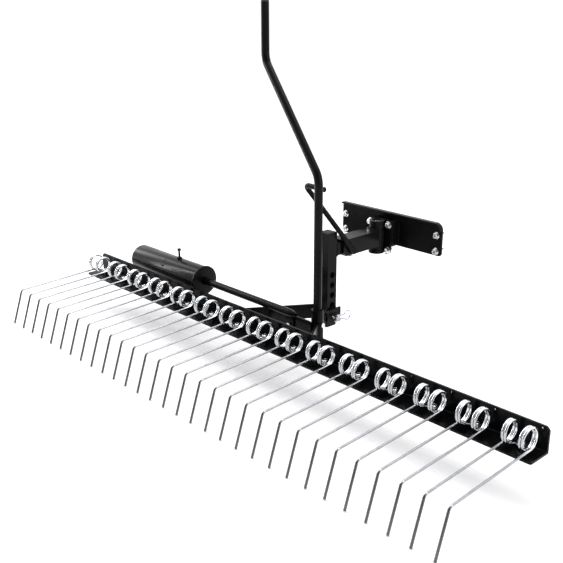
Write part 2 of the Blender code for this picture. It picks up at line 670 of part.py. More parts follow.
def make_handle_socket(frame):
    """Tube saddled over the right brace, with a cross bolt."""
    shape = pipe("Z", HANDLE_PLACE, *SOCKET_Z, SOCKET_RADIUS, SOCKET_BORE, 16)
    socket = add_object("handle_socket", build_mesh("handle_socket", shape, smooth=True), frame, BLACK_COAT)
    run, half = brace_line()
    slope = run.x / run.y
    reach = half + GAP * 1.5
    slot = []
    near, far = HANDLE_PLACE[1] - 0.03, HANDLE_PLACE[1] + 0.03
    for y, sign in ((near, -1.0), (near, 1.0), (far, 1.0), (far, -1.0)):
        slot.append((BRACE_BACK[0] + slope * (y - BRACE_BACK[1]) + sign * reach, y))
    cut(socket, "brace_slot", prism(slot, "Z", SOCKET_Z[0] - 0.01, BRACE_HEIGHT + GAP))
    hole = circle(SMALL_BOLT_HOLE, 12, (HANDLE_PLACE[1], HANDLE_BOLT_Z))
    start = HANDLE_PLACE[0] - SOCKET_RADIUS - 0.005
    cut(socket, "socket_hole", prism(hole, "X", start, HANDLE_PLACE[0] + SOCKET_RADIUS + 0.005))


def make_handle_bolt(frame):
    head = HANDLE_PLACE[0] + SOCKET_RADIUS + GAP
    end = HANDLE_PLACE[0] - SOCKET_RADIUS - 0.004
    shape = bolt("X", (HANDLE_PLACE[1], HANDLE_BOLT_Z), head + 0.0055, head, end, 0.0062, SMALL_BOLT_RADIUS)
    add_object("handle_bolt", build_mesh("handle_bolt", shape), frame, BRIGHT_ZINC)


def handle_points():
    low = Vector((*HANDLE_PLACE, BRACE_HEIGHT + 0.0012))
    first = Vector((*HANDLE_PLACE, HANDLE_BEND_Z))
    second = Vector((*HANDLE_TOP, HANDLE_TOP_BEND_Z))
    return [low, first, second, Vector((*HANDLE_TOP, HANDLE_END_Z))]


def make_handle(frame):
    """Lift lever: a tube with two bends, so that its top stands in reach of the driver."""
    path = bend_path(handle_points(), 0.045, 6)
    outer = sweep(path, HANDLE_RADIUS, 12)
    inner = sweep(path, HANDLE_BORE, 12)
    mesh = build_mesh("handle_tube", (outer + inner[::-1], True), smooth=True)
    add_object("handle_tube", mesh, frame, BLACK_COAT)
    top = HANDLE_END_Z
    plug = HANDLE_BORE * 0.93
    profile = [(top - 0.010, plug), (top + GAP, plug), (top + GAP, HANDLE_RADIUS)]
    profile += [(top + 0.0025, HANDLE_RADIUS), (top + 0.0045, HANDLE_RADIUS * 0.72)]
    mesh = build_mesh("handle_cap", turned(profile, "Z", HANDLE_TOP, 12), smooth=True)
    add_object("handle_cap", mesh, frame, DARK_PLASTIC)


# ---------------------------------------------------------------- pin and clip

def make_hitch_pin(frame):
    """Pin through both ears and the post, with a cross hole for its clip."""
    head = 0.006
    centre = (POST_HOLE_Y, POST_HOLE_Z)
    profile = [(PIN_X[0] - head, 0.0120), (PIN_X[0], 0.0120), (PIN_X[0], PIN_RADIUS)]
    profile += [(PIN_X[1] - 0.002, PIN_RADIUS), (PIN_X[1], PIN_RADIUS - 0.002)]
    mesh = build_mesh("hitch_pin", turned(profile, "X", centre, 16), smooth=True)
    pin = add_object("hitch_pin", mesh, frame, BRIGHT_ZINC)
    hole = circle(CLIP_WIRE + 0.0007, 8, (CLIP_X, POST_HOLE_Z))
    cut(pin, "clip_hole", prism(hole, "Y", POST_HOLE_Y - 0.015, POST_HOLE_Y + 0.015))


def make_hairpin_clip(frame):
    """Spring clip: one leg goes through the pin, the other lies under it, a round eye joins them."""
    lower = POST_HOLE_Z - PIN_RADIUS - CLIP_WIRE - 0.0006
    eye = 0.0120
    middle = (POST_HOLE_Z + lower) / 2.0
    spread = (POST_HOLE_Z - lower) / 2.0
    open_angle = math.degrees(math.asin(spread / eye))
    centre = (POST_HOLE_Y + 0.038, middle)
    path = [Vector((CLIP_X, POST_HOLE_Y - 0.014, POST_HOLE_Z))]
    for y, z in arc(centre, eye, 180.0 - open_angle, open_angle - 180.0, 12):
        path.append(Vector((CLIP_X, y, z)))
    path.append(Vector((CLIP_X, POST_HOLE_Y - 0.010, lower)))
    mesh = build_mesh("hairpin_clip", (sweep(path, CLIP_WIRE, 6), False), smooth=True)
    add_object("hairpin_clip", mesh, frame, BRIGHT_ZINC)


# ---------------------------------------------------------------- counterweight

def make_weight_arm(frame):
    """Round bar along the back of the rake; it ends in a taper, with a tab that bolts to the cross plate."""
    profile = [(ARM_X[0], ARM_RADIUS), (ARM_X[1] - ARM_TAPER, ARM_RADIUS), (ARM_X[1], ARM_RADIUS * 0.45)]
    mesh = build_mesh("weight_arm", turned(profile, "X", ARM_YZ, 16), smooth=True)
    arm = add_object("weight_arm", mesh, frame, BLACK_COAT)
    tab = rounded(-0.012, 0.012, 0.0060, ARM_YZ[1], 0.007, 0.001, 3)
    cut(arm, "arm_tab", prism(tab, "Y", CROSS_PLATE_Y[0] - 0.0053, CROSS_PLATE_Y[0] - GAP), join=True)
    hole = circle(SMALL_BOLT_HOLE, 12, (0.0, 0.0170))
    cut(arm, "arm_hole", prism(hole, "Y", CROSS_PLATE_Y[0] - 0.01, CROSS_PLATE_Y[0] + 0.005))


def make_arm_fasteners(frame):
    head = CROSS_PLATE_Y[0] - 0.0056
    end = CROSS_PLATE_Y[1] + 0.009
    shape = bolt("Y", (0.0, 0.0170), head - 0.0045, head, end, 0.0062, SMALL_BOLT_RADIUS)
    add_object("arm_bolt", build_mesh("arm_bolt", shape), frame, BRIGHT_ZINC)
    start = CROSS_PLATE_Y[1] + GAP
    shape = nut("Y", (0.0, 0.0170), start, start + 0.0055, 0.0062, SMALL_BOLT_HOLE)
    add_object("arm_nut", build_mesh("arm_nut", shape), frame, BRIGHT_ZINC)


def make_counterweight(frame):
    """Bored cylinder with a proud end cap, which slides along the arm."""
    soft = 0.003
    start, end = WEIGHT_X
    sizes = [(start, WEIGHT_BORE), (start, WEIGHT_RADIUS - soft), (start + soft, WEIGHT_RADIUS)]
    sizes += [(end, WEIGHT_RADIUS), (end, WEIGHT_BORE)]
    rings = [lay(circle(radius, 28, ARM_YZ), "X", x) for x, radius in sizes]
    mesh = build_mesh("counterweight", (rings, True), smooth=True)
    weight = add_object("counterweight", mesh, frame, BLACK_COAT)
    hole = circle(SMALL_BOLT_HOLE, 12, (WEIGHT_BOLT_X, ARM_YZ[0]))
    cut(weight, "weight_bolt_hole", prism(hole, "Z", ARM_YZ[1], ARM_YZ[1] + WEIGHT_RADIUS + 0.01))
    cut(weight, "weight_plug_hole", plug_shape(WEIGHT_PLUG_RADIUS + 0.0004, 0.0265, WEIGHT_RADIUS + 0.01))
    cap_end = end + GAP + WEIGHT_CAP_WALL
    shape = pipe("X", ARM_YZ, end + GAP, cap_end, WEIGHT_CAP_RADIUS, WEIGHT_BORE, 28)
    add_object("weight_end_cap", build_mesh("weight_end_cap", shape, smooth=True), frame, BLACK_COAT)
    plug = build_mesh("weight_plug", plug_shape(WEIGHT_PLUG_RADIUS, 0.0270, WEIGHT_RADIUS - 0.0014))
    add_object("weight_plug", plug, frame, BLACK_COAT)


def plug_shape(radius, start, end):
    """A round plug on a radius of the weight, between two distances from its axis."""
    outward = Vector((0.0, -math.cos(WEIGHT_PLUG_TILT), math.sin(WEIGHT_PLUG_TILT)))
    along = Vector((1.0, 0.0, 0.0))
    across = outward.cross(along)
    middle = Vector((WEIGHT_PLUG_X, *ARM_YZ))
    rings = []
    for distance in (start, end):
        rings.append([middle + outward * distance + along * u + across * v for u, v in circle(radius, 16)])
    return (rings, False)


def make_weight_lock(frame, bolt_frame):
    """Set bolt that bears on the arm, and its jam nut."""
    place = (WEIGHT_BOLT_X, ARM_YZ[0])
    top = ARM_YZ[1] + WEIGHT_RADIUS
    shape = nut("Z", place, top + GAP, top + 0.0042, 0.0080, SMALL_BOLT_HOLE)
    add_object("weight_jam_nut", build_mesh("weight_jam_nut", shape), frame, BLACK_COAT)
    head = top + WEIGHT_BOLT_TOP
    bearing = ARM_YZ[1] + ARM_RADIUS + 0.0006
    shape = bolt("Z", place, head, head - 0.0055, bearing, 0.0058, SMALL_BOLT_RADIUS)
    add_object("weight_set_bolt", build_mesh("weight_set_bolt", shape), bolt_frame, BLACK_COAT)


# ---------------------------------------------------------------- assembly

def main():
    clear_scene()
    pin_place = (0.0, POST_HOLE_Y, POST_HOLE_Z)
    mount = make_frame("mower_mount_frame", -CORNER)
    swivel = make_frame("swivel_frame", (0.0, SWIVEL_Y, TUBE_CENTRE_Z), mount)
    rake = make_frame("rake_frame", pin_place, swivel)
    clip = make_frame("clip_frame", (CLIP_X, POST_HOLE_Y, POST_HOLE_Z), rake)
    weight = make_frame("weight_frame", (WEIGHT_X[1], *ARM_YZ), rake)
    set_bolt = make_frame("set_bolt_frame", (WEIGHT_BOLT_X, *ARM_YZ), weight)

    make_mount_plate(mount)
    make_mount_fasteners(mount)
    make_bracket_bars(mount)
    make_pivot_bracket(mount)
    make_bracket_bolts(mount)
    make_kingpin(mount)

    make_pivot_sleeve(swivel)
    make_cross_tube(swivel)
    make_inner_tube(swivel)
    make_tube_bolts(swivel)
    make_handle_rest(swivel)
    make_post(swivel)

    make_ears(rake)
    make_braces(rake)
    make_cross_plate(rake)
    make_tine_bar(rake)
    make_tines(rake)
    make_handle_socket(rake)
    make_handle_bolt(rake)
    make_handle(rake)
    make_hitch_pin(rake)
    make_weight_arm(rake)
    make_arm_fasteners(rake)

    make_hairpin_clip(clip)
    make_counterweight(weight)
    make_weight_lock(weight, set_bolt)


main()
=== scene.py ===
"""Looks for the front-mounted lawn dethatcher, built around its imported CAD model."""

import math

import bmesh
import bpy
from mathutils import Matrix, Vector


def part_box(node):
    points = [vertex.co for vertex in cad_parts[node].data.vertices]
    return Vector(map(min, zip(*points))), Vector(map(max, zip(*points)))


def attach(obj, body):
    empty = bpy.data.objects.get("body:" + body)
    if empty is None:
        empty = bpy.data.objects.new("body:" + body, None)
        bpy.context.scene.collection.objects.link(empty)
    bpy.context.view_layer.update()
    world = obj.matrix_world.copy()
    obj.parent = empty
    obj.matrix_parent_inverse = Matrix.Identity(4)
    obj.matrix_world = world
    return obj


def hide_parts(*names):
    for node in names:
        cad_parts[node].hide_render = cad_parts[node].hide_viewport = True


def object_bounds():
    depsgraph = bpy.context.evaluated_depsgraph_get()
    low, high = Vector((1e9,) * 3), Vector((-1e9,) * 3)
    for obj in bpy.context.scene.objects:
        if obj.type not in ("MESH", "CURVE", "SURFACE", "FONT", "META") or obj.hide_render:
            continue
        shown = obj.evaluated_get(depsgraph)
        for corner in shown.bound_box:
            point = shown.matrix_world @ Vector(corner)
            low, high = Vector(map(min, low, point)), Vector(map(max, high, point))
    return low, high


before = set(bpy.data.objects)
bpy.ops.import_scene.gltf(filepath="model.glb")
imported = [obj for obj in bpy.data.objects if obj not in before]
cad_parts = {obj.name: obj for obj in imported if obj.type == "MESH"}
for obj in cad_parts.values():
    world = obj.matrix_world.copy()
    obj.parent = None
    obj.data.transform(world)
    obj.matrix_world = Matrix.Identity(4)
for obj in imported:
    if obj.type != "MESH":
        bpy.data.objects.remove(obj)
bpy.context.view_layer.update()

AXES = {"X": 0, "Y": 1, "Z": 2}
FACING = {
    "X": Matrix(((0, 0, 1), (1, 0, 0), (0, 1, 0))),
    "Y": Matrix(((0, 1, 0), (0, 0, 1), (1, 0, 0))),
    "Z": Matrix.Identity(3),
}


# ---------------------------------------------------------------- places

def middle(node):
    low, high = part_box(node)
    return (low + high) / 2.0


BAR_LOW, BAR_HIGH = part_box("tine_bar")
BAR_WALL = 0.0048
# The bar's inner corner; the lengths below are measured from it.
CORNER = Vector((middle("kingpin").x, BAR_HIGH.y - BAR_WALL, BAR_LOW.z + BAR_WALL))


def at(x, y, z):
    return CORNER + Vector((x, y, z))


# ---------------------------------------------------------------- materials

def new_material(name):
    material = bpy.data.materials.new(name)
    material.use_nodes = True
    tree = material.node_tree
    return material, tree, tree.nodes["Principled BSDF"]


def noise(tree, scale, detail):
    """Noise in the object's own space, so that it moves with the piece."""
    place = tree.nodes.new("ShaderNodeTexCoord")
    texture = tree.nodes.new("ShaderNodeTexNoise")
    texture.inputs["Scale"].default_value = scale
    texture.inputs["Detail"].default_value = detail
    tree.links.new(place.outputs["Object"], texture.inputs["Vector"])
    return texture.outputs["Fac"]


def ramp(tree, value, stops):
    """A colour ramp over (position, colour) stops."""
    node = tree.nodes.new("ShaderNodeValToRGB")
    elements = node.color_ramp.elements
    while len(elements) < len(stops):
        elements.new(0.5)
    for element, (position, colour) in zip(elements, stops):
        element.position = position
        element.color = (*colour, 1.0)
    tree.links.new(value, node.inputs["Fac"])
    return node.outputs["Color"]


def spread(tree, value, low, high, start=0.3, end=0.7):
    """Map a value between start and end, where most of a noise lies, to low and high."""
    node = tree.nodes.new("ShaderNodeMapRange")
    node.inputs["From Min"].default_value = start
    node.inputs["From Max"].default_value = end
    node.inputs["To Min"].default_value = low
    node.inputs["To Max"].default_value = high
    tree.links.new(value, node.inputs["Value"])
    return node.outputs["Result"]


def bumps(tree, shader, value, strength, distance):
    node = tree.nodes.new("ShaderNodeBump")
    node.inputs["Strength"].default_value = strength
    node.inputs["Distance"].default_value = distance
    tree.links.new(value, node.inputs["Height"])
    tree.links.new(node.outputs["Normal"], shader.inputs["Normal"])


def powder_coat(name, dark, light, rough):
    """Gloss black powder coat: slight orange peel and a faint uneven sheen."""
    material, tree, shader = new_material(name)
    tone = ramp(tree, noise(tree, 9.0, 4.0), ((0.35, dark), (0.7, light)))
    tree.links.new(tone, shader.inputs["Base Color"])
    tree.links.new(spread(tree, noise(tree, 26.0, 3.0), *rough), shader.inputs["Roughness"])
    shader.inputs["Specular IOR Level"].default_value = 0.08
    bumps(tree, shader, noise(tree, 620.0, 2.0), 0.10, 0.0004)
    return material


def zinc(name, dark, light, rough):
    """Bright zinc plate with a slightly cloudy tone."""
    material, tree, shader = new_material(name)
    tone = ramp(tree, noise(tree, 60.0, 4.0), ((0.3, dark), (0.7, light)))
    tree.links.new(tone, shader.inputs["Base Color"])
    shader.inputs["Metallic"].default_value = 1.0
    tree.links.new(spread(tree, noise(tree, 140.0, 3.0), *rough), shader.inputs["Roughness"])
    bumps(tree, shader, noise(tree, 500.0, 2.0), 0.06, 0.0003)
    return material


TINE_TIP = (-0.3069, -0.0895)


def paint_shade_along(material, shade_stops):
    """Painted shade: multiply the base colour by a grey that changes with the object's own Y, darker towards
    the tine tips, in place of the dark reflections on the lower legs.
    """
    tree = material.node_tree
    shader = tree.nodes["Principled BSDF"]
    plain = shader.inputs["Base Color"].links[0].from_socket
    place = tree.nodes.new("ShaderNodeTexCoord")
    parts = tree.nodes.new("ShaderNodeSeparateXYZ")
    tree.links.new(place.outputs["Object"], parts.inputs["Vector"])
    fraction = spread(tree, parts.outputs["Y"], 0.0, 1.0, TINE_TIP[0], 0.0)
    tone = ramp(tree, fraction, shade_stops)
    shade = tree.nodes.new("ShaderNodeVectorMath")
    shade.operation = "MULTIPLY"
    tree.links.new(plain, shade.inputs[0])
    tree.links.new(tone, shade.inputs[1])
    tree.links.new(shade.outputs["Vector"], shader.inputs["Base Color"])


COAT = powder_coat("powder_coat", (0.0030, 0.0029, 0.0031), (0.0070, 0.0067, 0.0070), (0.15, 0.27))
BAR_COAT = powder_coat("bar_coat", (0.0025, 0.0025, 0.0027), (0.0060, 0.0060, 0.0064), (0.18, 0.32))
CAST_COAT = powder_coat("weight_coat", (0.0040, 0.0035, 0.0036), (0.0085, 0.0075, 0.0076), (0.16, 0.26))
PLASTIC = powder_coat("cap_plastic", (0.020, 0.020, 0.021), (0.034, 0.034, 0.035), (0.42, 0.58))
WIRE = zinc("spring_zinc", (0.70, 0.72, 0.74), (0.92, 0.93, 0.94), (0.09, 0.19))
# Painted shade on the wire: near black at the tips, mid grey along the legs and full colour at the coils.
paint_shade_along(WIRE, ((0.09, (0.14, 0.14, 0.14)), (0.11, (0.48, 0.48, 0.49)),
                  (0.78, (0.50, 0.50, 0.51)), (0.86, (1.0, 1.0, 1.0))))
BOLT_ZINC = zinc("bolt_zinc", (0.76, 0.78, 0.80), (0.94, 0.95, 0.96), (0.14, 0.26))
STEEL = zinc("pin_zinc", (0.36, 0.37, 0.39), (0.56, 0.57, 0.59), (0.16, 0.30))


# ---------------------------------------------------------------- mesh building

def mesh_from(name, shapes, sharp=32.0):
    """A mesh of lofts; each shape is (rings, closed)."""
    work = bmesh.new()
    for rings, closed in shapes:
        loops = [[work.verts.new(point) for point in ring] for ring in rings]
        pairs = list(zip(loops, loops[1:]))
        if closed:
            pairs.append((loops[-1], loops[0]))
        count = len(loops[0])
        for first, second in pairs:
            for i in range(count):
                j = (i + 1) % count
                work.faces.new((first[i], first[j], second[j], second[i]))
        if not closed:
            work.faces.new(list(reversed(loops[0])))
            work.faces.new(loops[-1])
    bmesh.ops.recalc_face_normals(work, faces=work.faces)
    mesh = bpy.data.meshes.new(name)
    work.to_mesh(mesh)
    work.free()
    mesh.shade_smooth()
    mesh.set_sharp_from_angle(angle=math.radians(sharp))
    return mesh


def show(name, mesh, material, body, nodes=(), place=None):
    """Put a piece on a body, in the given material, in place of CAD nodes."""
    piece = bpy.data.objects.new(name, mesh)
    bpy.context.scene.collection.objects.link(piece)
    if not mesh.materials:
        mesh.materials.append(material)
    if place is not None:
        piece.location = place
    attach(piece, body)
    if nodes:
        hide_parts(*nodes)
    return piece


def ring(radius, sides, offset, turn=0.0):
    points = []
    for i in range(sides):
        a = turn + 2.0 * math.pi * i / sides
        points.append(Vector((radius * math.cos(a), radius * math.sin(a), offset)))
    return points


def face_along(rings, axis, centre):
    """Turn rings built along Z to face along an axis, and move them."""
    turned = FACING[axis]
    return [[turned @ point + centre for point in points] for points in rings]


def lathe(profile, sides):
    """Rings of a turned shape from (offset, radius) pairs."""
    return [ring(radius, sides, offset) for offset, radius in profile]


def sweep(path, radius, sides, ripple=None):
    """Rings of a round section carried along a path without twist."""
    rings = []
    normal = None
    last = len(path) - 1
    for i, point in enumerate(path):
        tangent = (path[min(i + 1, last)] - path[max(i - 1, 0)]).normalized()
        if normal is None:
            guide = Vector((0.0, 0.0, 1.0))
            if abs(tangent.z) >= 0.9:
                guide = Vector((1.0, 0.0, 0.0))
            normal = tangent.cross(guide).normalized()
        normal = (normal - tangent * normal.dot(tangent)).normalized()
        side = tangent.cross(normal)
        size = radius * (ripple[i] if ripple else 1.0)
        angles = [2.0 * math.pi * k / sides for k in range(sides)]
        rings.append([point + normal * (size * math.cos(a)) + side * (size * math.sin(a)) for a in angles])
    return rings


def bend_path(points, radius, steps):
    """Straight runs joined by round bends of one radius."""
    path = [points[0]]
    for before, corner, after in zip(points, points[1:], points[2:]):
        inward = (corner - before).normalized()
        outward = (after - corner).normalized()
        turn = inward.angle(outward)
        start = corner - inward * (radius * math.tan(turn / 2.0))
        centre = corner + (outward - inward).normalized() * (radius / math.cos(turn / 2.0))
        axis = inward.cross(outward).normalized()
        for i in range(steps + 1):
            path.append(centre + Matrix.Rotation(turn * i / steps, 3, axis) @ (start - centre))
    path.append(points[-1])
    return path


def softened(node, width, material, body):
    """The CAD node's own shape with its sharp edges rounded."""
    work = bmesh.new()
    work.from_mesh(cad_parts[node].data)
    bmesh.ops.remove_doubles(work, verts=work.verts, dist=1e-5)
    bmesh.ops.dissolve_limit(work, angle_limit=math.radians(1.0), verts=work.verts, edges=work.edges)
    steep = math.radians(40.0)
    edges = [e for e in work.edges if len(e.link_faces) == 2 and e.calc_face_angle(0.0) > steep]
    bmesh.ops.bevel(work, geom=edges, offset=width, offset_type="OFFSET", segments=3, profile=0.5,
                    affect="EDGES", clamp_overlap=True)
    bmesh.ops.recalc_face_normals(work, faces=work.faces)
    mesh = bpy.data.meshes.new(node + "_form")
    work.to_mesh(mesh)
    work.free()
    mesh.shade_smooth()
    mesh.set_sharp_from_angle(angle=math.radians(50.0))
    piece = show(node + "_form", mesh, material, body, (node,))
    weighted = piece.modifiers.new("weighted", "WEIGHTED_NORMAL")
    weighted.keep_sharp = True


# ---------------------------------------------------------------- fasteners

def hexagon(radius, offset, limit=10.0):
    """A hexagon of 24 points whose corners are cut back to a circle."""
    points = []
    for i in range(24):
        a = 2.0 * math.pi * i / 24.0
        off = (a + math.pi / 6.0) % (math.pi / 3.0) - math.pi / 6.0
        reach = min(radius * math.cos(math.pi / 6.0) / math.cos(off), limit)
        points.append(Vector((reach * math.cos(a), reach * math.sin(a), offset)))
    return points


def head_rings(radius, height):
    """A hexagon head that stands on offset 0 and grows towards +Z, chamfered on top."""
    flat = radius * math.cos(math.pi / 6.0)
    rings = [hexagon(radius, 0.0, radius * 0.965), hexagon(radius, height * 0.10)]
    rings += [hexagon(radius, height * 0.80), hexagon(radius, height * 0.93, (radius + flat) / 2.0)]
    rings += [ring(flat * 0.94, 24, height), ring(flat * 0.62, 24, height)]
    rings += [ring(flat * 0.58, 24, height * 0.955)]
    return rings


def thread_rings(radius, start, end, pitch=0.00125):
    """Ridges along a shank, between two offsets, with a chamfered end."""
    rings = [ring(radius, 24, start)]
    count = max(2, int(abs(end - start) / pitch))
    step = (end - start) / count
    for i in range(count):
        rings.append(ring(radius * 0.87, 24, start + step * (i + 0.25)))
        rings.append(ring(radius, 24, start + step * (i + 0.75)))
    rings.append(ring(radius * 0.78, 24, end))
    return rings


def bolt_rings(head_radius, head_height, shank_radius, shank_length, plain):
    """A bolt whose head stands on offset 0 and whose shank runs down to -shank_length."""
    rings = list(reversed(head_rings(head_radius, head_height)))
    rings.append(ring(shank_radius, 24, -0.0001))
    rings += thread_rings(shank_radius, -plain, -shank_length)
    return rings


def flip(rings):
    """Turn rings built along Z to face the other way."""
    return [[Vector((p.x, -p.y, -p.z)) for p in points] for points in rings]


def nut_shape(radius, height, bore):
    """A nut from offset 0 up, as rings that close on themselves."""
    flat = radius * math.cos(math.pi / 6.0)
    rings = [ring(bore, 24, 0.0), ring(flat * 0.95, 24, 0.0), hexagon(radius, height * 0.14)]
    rings += [hexagon(radius, height * 0.86), ring(flat * 0.95, 24, height), ring(bore, 24, height)]
    return rings


def washer_rings(radius, bore, height):
    """A washer from offset 0 up, its outer edges eased."""
    edge = height * 0.25
    return [ring(bore, 32, 0.0), ring(radius - edge, 32, 0.0), ring(radius, 32, edge),
            ring(radius, 32, height - edge), ring(radius - edge, 32, height), ring(bore, 32, height)]


HEX = 0.0075
SMALL_HEX = 0.0062
SHANK = 0.0040
SMALL_SHANK = 0.0030
THIN_WASHER = 0.0016


def place_bolt(node, body, axis, head_high, head_radius, head_height,
               shank_radius, plain, material, flange=0.0):
    """Draw a CAD bolt in full: chamfered head, threaded shank and, with a flange radius, a thin washer."""
    low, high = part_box(node)
    k = AXES[axis]
    centre = (low + high) / 2.0
    length = high[k] - low[k] - head_height
    shapes = [(bolt_rings(head_radius, head_height, shank_radius, length, plain), False)]
    if flange:
        washer = washer_rings(flange, shank_radius + 0.0002, THIN_WASHER)
        drop = Vector((0.0, 0.0, THIN_WASHER + 0.0001))
        shapes.append(([[point - drop for point in points] for points in washer], True))
    if not head_high:
        shapes = [(flip(rings), closed) for rings, closed in shapes]
    centre[k] = high[k] - head_height if head_high else low[k] + head_height
    faced = [(face_along(rings, axis, centre), closed) for rings, closed in shapes]
    show(node + "_form", mesh_from(node + "_form", faced), material, body, (node,))


def place_nut(node, body, axis, radius, bore, material):
    """Draw a CAD nut in full."""
    low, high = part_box(node)
    k = AXES[axis]
    centre = (low + high) / 2.0
    centre[k] = low[k]
    rings = face_along(nut_shape(radius, high[k] - low[k], bore), axis, centre)
    show(node + "_form", mesh_from(node + "_form", [(rings, True)]), material, body, (node,))


def add_fasteners():
    for i in range(1, 5):
        place_bolt(f"mount_bolt_{i}", "mower_mount", "Y", False, HEX, 0.0053,
                   SHANK, 0.012, BOLT_ZINC)
        place_bolt(f"bracket_bolt_{i}", "mower_mount", "Y", False, HEX, 0.0065,
                   SHANK, 0.005, BOLT_ZINC, 0.0096)
        low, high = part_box(f"mount_washer_{i}")
        rings = washer_rings(0.0090, 0.0046, high.y - low.y)
        centre = (low + high) / 2.0
        centre.y = low.y
        mesh = mesh_from(f"mount_washer_{i}_form", [(face_along(rings, "Y", centre), True)])
        show(f"mount_washer_{i}_form", mesh, BOLT_ZINC, "mower_mount",
             (f"mount_washer_{i}",))
    place_bolt("tube_set_bolt", "swivel", "Z", True, HEX, 0.0060,
               SMALL_SHANK, 0.001, BOLT_ZINC)
    place_bolt("clamp_bolt", "swivel", "Z", False, HEX, 0.0055, SHANK, 0.001, BOLT_ZINC)
    place_bolt("handle_bolt", "rake", "X", True, SMALL_HEX, 0.0055,
               SMALL_SHANK, 0.020, BOLT_ZINC)
    place_bolt("arm_bolt", "rake", "Y", False, SMALL_HEX, 0.0045,
               SMALL_SHANK, 0.006, BOLT_ZINC)
    place_bolt("weight_set_bolt", "set_bolt", "Z", True, 0.0058, 0.0055,
               SMALL_SHANK, 0.001, COAT)
    place_nut("arm_nut", "rake", "Y", SMALL_HEX, 0.0035, BOLT_ZINC)
    place_nut("weight_jam_nut", "weight", "Z", 0.0080, 0.0035, COAT)


# ---------------------------------------------------------------- tines

WIRE_RADIUS = 0.0028
COIL_RADIUS = 0.0216
COIL_CENTRE = (-0.0345, 0.0330)
COIL_TURNS = 2
COIL_PITCH = 0.0060
LEG_OFFSET = 0.0255
LEG_BEND = (-0.2757, 0.0016)
LOOP_Y = -0.0080
LOOP_Z = 0.0034
LOOP_RADIUS = 0.0105
TINE_BOLT_Y = -0.0180
COIL_STEPS = 28
LEG_BEND_RADIUS = 0.009
TINE_COUNT = 15


def half_tine():
    """Centre line of one half of a tine: middle loop, coil and leg, on the +X side."""
    centre_y, centre_z = COIL_CENTRE
    inner_x = LEG_OFFSET - COIL_TURNS * COIL_PITCH
    bottom = centre_z - COIL_RADIUS
    path = []
    for i in range(8):
        a = math.radians(90.0 * i / 7.0)
        y = LOOP_Y - LOOP_RADIUS * (1.0 - math.cos(a))
        path.append(Vector((LOOP_RADIUS * math.sin(a), y, LOOP_Z)))
    path.append(Vector(((LOOP_RADIUS + inner_x) / 2.0, -0.0245, (LOOP_Z + bottom) / 2.0)))
    turns = COIL_TURNS * COIL_STEPS
    for i in range(turns + 1):
        a = 2.0 * math.pi * (turns - i) / COIL_STEPS
        x = LEG_OFFSET - COIL_PITCH * (turns - i) / COIL_STEPS
        y = centre_y + COIL_RADIUS * math.sin(a)
        path.append(Vector((x, y, centre_z - COIL_RADIUS * math.cos(a))))
    leg = [path[-1], Vector((LEG_OFFSET, *LEG_BEND)), Vector((LEG_OFFSET, *TINE_TIP))]
    return path[:-1] + bend_path(leg, LEG_BEND_RADIUS, 8)


def add_tines():
    """Each tine with the bolt, washer and nut that clamp it; they have no CAD node of their own."""
    right = half_tine()
    left = [Vector((-point.x, point.y, point.z)) for point in reversed(right[1:])]
    mesh = mesh_from("tine_wire", [(sweep(left + right, WIRE_RADIUS, 12), False)])
    top = LOOP_Z + WIRE_RADIUS + 0.0002
    washer = washer_rings(0.0105, 0.0045, THIN_WASHER)
    washer = face_along(washer, "Z", Vector((0.0, TINE_BOLT_Y, top)))
    head = bolt_rings(0.0074, 0.0050, SHANK, 0.0245, 0.006)
    head = face_along(head, "Z", Vector((0.0, TINE_BOLT_Y, top + 0.0018)))
    lower = Vector((0.0, TINE_BOLT_Y, -BAR_WALL - 0.0068))
    nut = face_along(nut_shape(0.0074, 0.0065, 0.0042), "Z", lower)
    clamp = mesh_from("tine_clamp", [(washer, True), (head, False), (nut, True)])
    for i in range(1, TINE_COUNT + 1):
        node = f"spring_tine_{i:02d}"
        place = Vector((middle(node).x, CORNER.y, CORNER.z))
        show(f"tine_wire_{i:02d}", mesh, WIRE, "rake", (node,), place)
        show(f"tine_clamp_{i:02d}", clamp, BOLT_ZINC, "rake", (), place)


# ---------------------------------------------------------------- lever, rods and round pieces

HANDLE_RADIUS = 0.01025
HANDLE_BORE = 0.0084
HANDLE_BEND_RADIUS = 0.045
HANDLE_BENDS = (0.3926, 0.6365)


def add_handle():
    """The lever tube with its two bends, and the plug in its top."""
    low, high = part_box("handle_tube")
    base = middle("handle_socket")
    cap = middle("handle_cap")
    points = [Vector((base.x, base.y, low.z)), Vector((base.x, base.y, CORNER.z + HANDLE_BENDS[0]))]
    points += [Vector((cap.x, cap.y, CORNER.z + HANDLE_BENDS[1])), Vector((cap.x, cap.y, high.z))]
    path = bend_path(points, HANDLE_BEND_RADIUS, 16)
    outer = sweep(path, HANDLE_RADIUS, 32)
    inner = sweep(path, HANDLE_BORE, 32)
    mesh = mesh_from("lever", [(outer + inner[::-1], True)])
    show("lever", mesh, COAT, "rake", ("handle_tube",))
    cap_low, cap_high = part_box("handle_cap")
    foot = high.z + 0.0003 - cap_low.z
    crown = cap_high.z - cap_low.z
    plug = HANDLE_BORE * 0.93
    profile = [(0.0, HANDLE_BORE * 0.90), (0.001, plug), (foot, plug), (foot, HANDLE_RADIUS)]
    brim = foot + 0.0015
    for i in range(7):
        a = math.radians(90.0 * i / 6.0)
        offset = brim + (crown - brim) * math.sin(a)
        profile.append((offset, HANDLE_RADIUS * (0.55 + 0.45 * math.cos(a))))
    centre = Vector((cap.x, cap.y, cap_low.z))
    mesh = mesh_from("lever_cap", [(face_along(lathe(profile, 32), "Z", centre), False)])
    show("lever_cap", mesh, PLASTIC, "rake", ("handle_cap",))


REST_RADIUS = 0.0065
REST_BEND_RADIUS = 0.012
REST_POINTS = ((0.0289, 0.2676, 0.1670), (0.0289, 0.2303, 0.2099),
               (-0.0150, 0.1300, 0.3575), (0.0530, 0.1300, 0.3555))


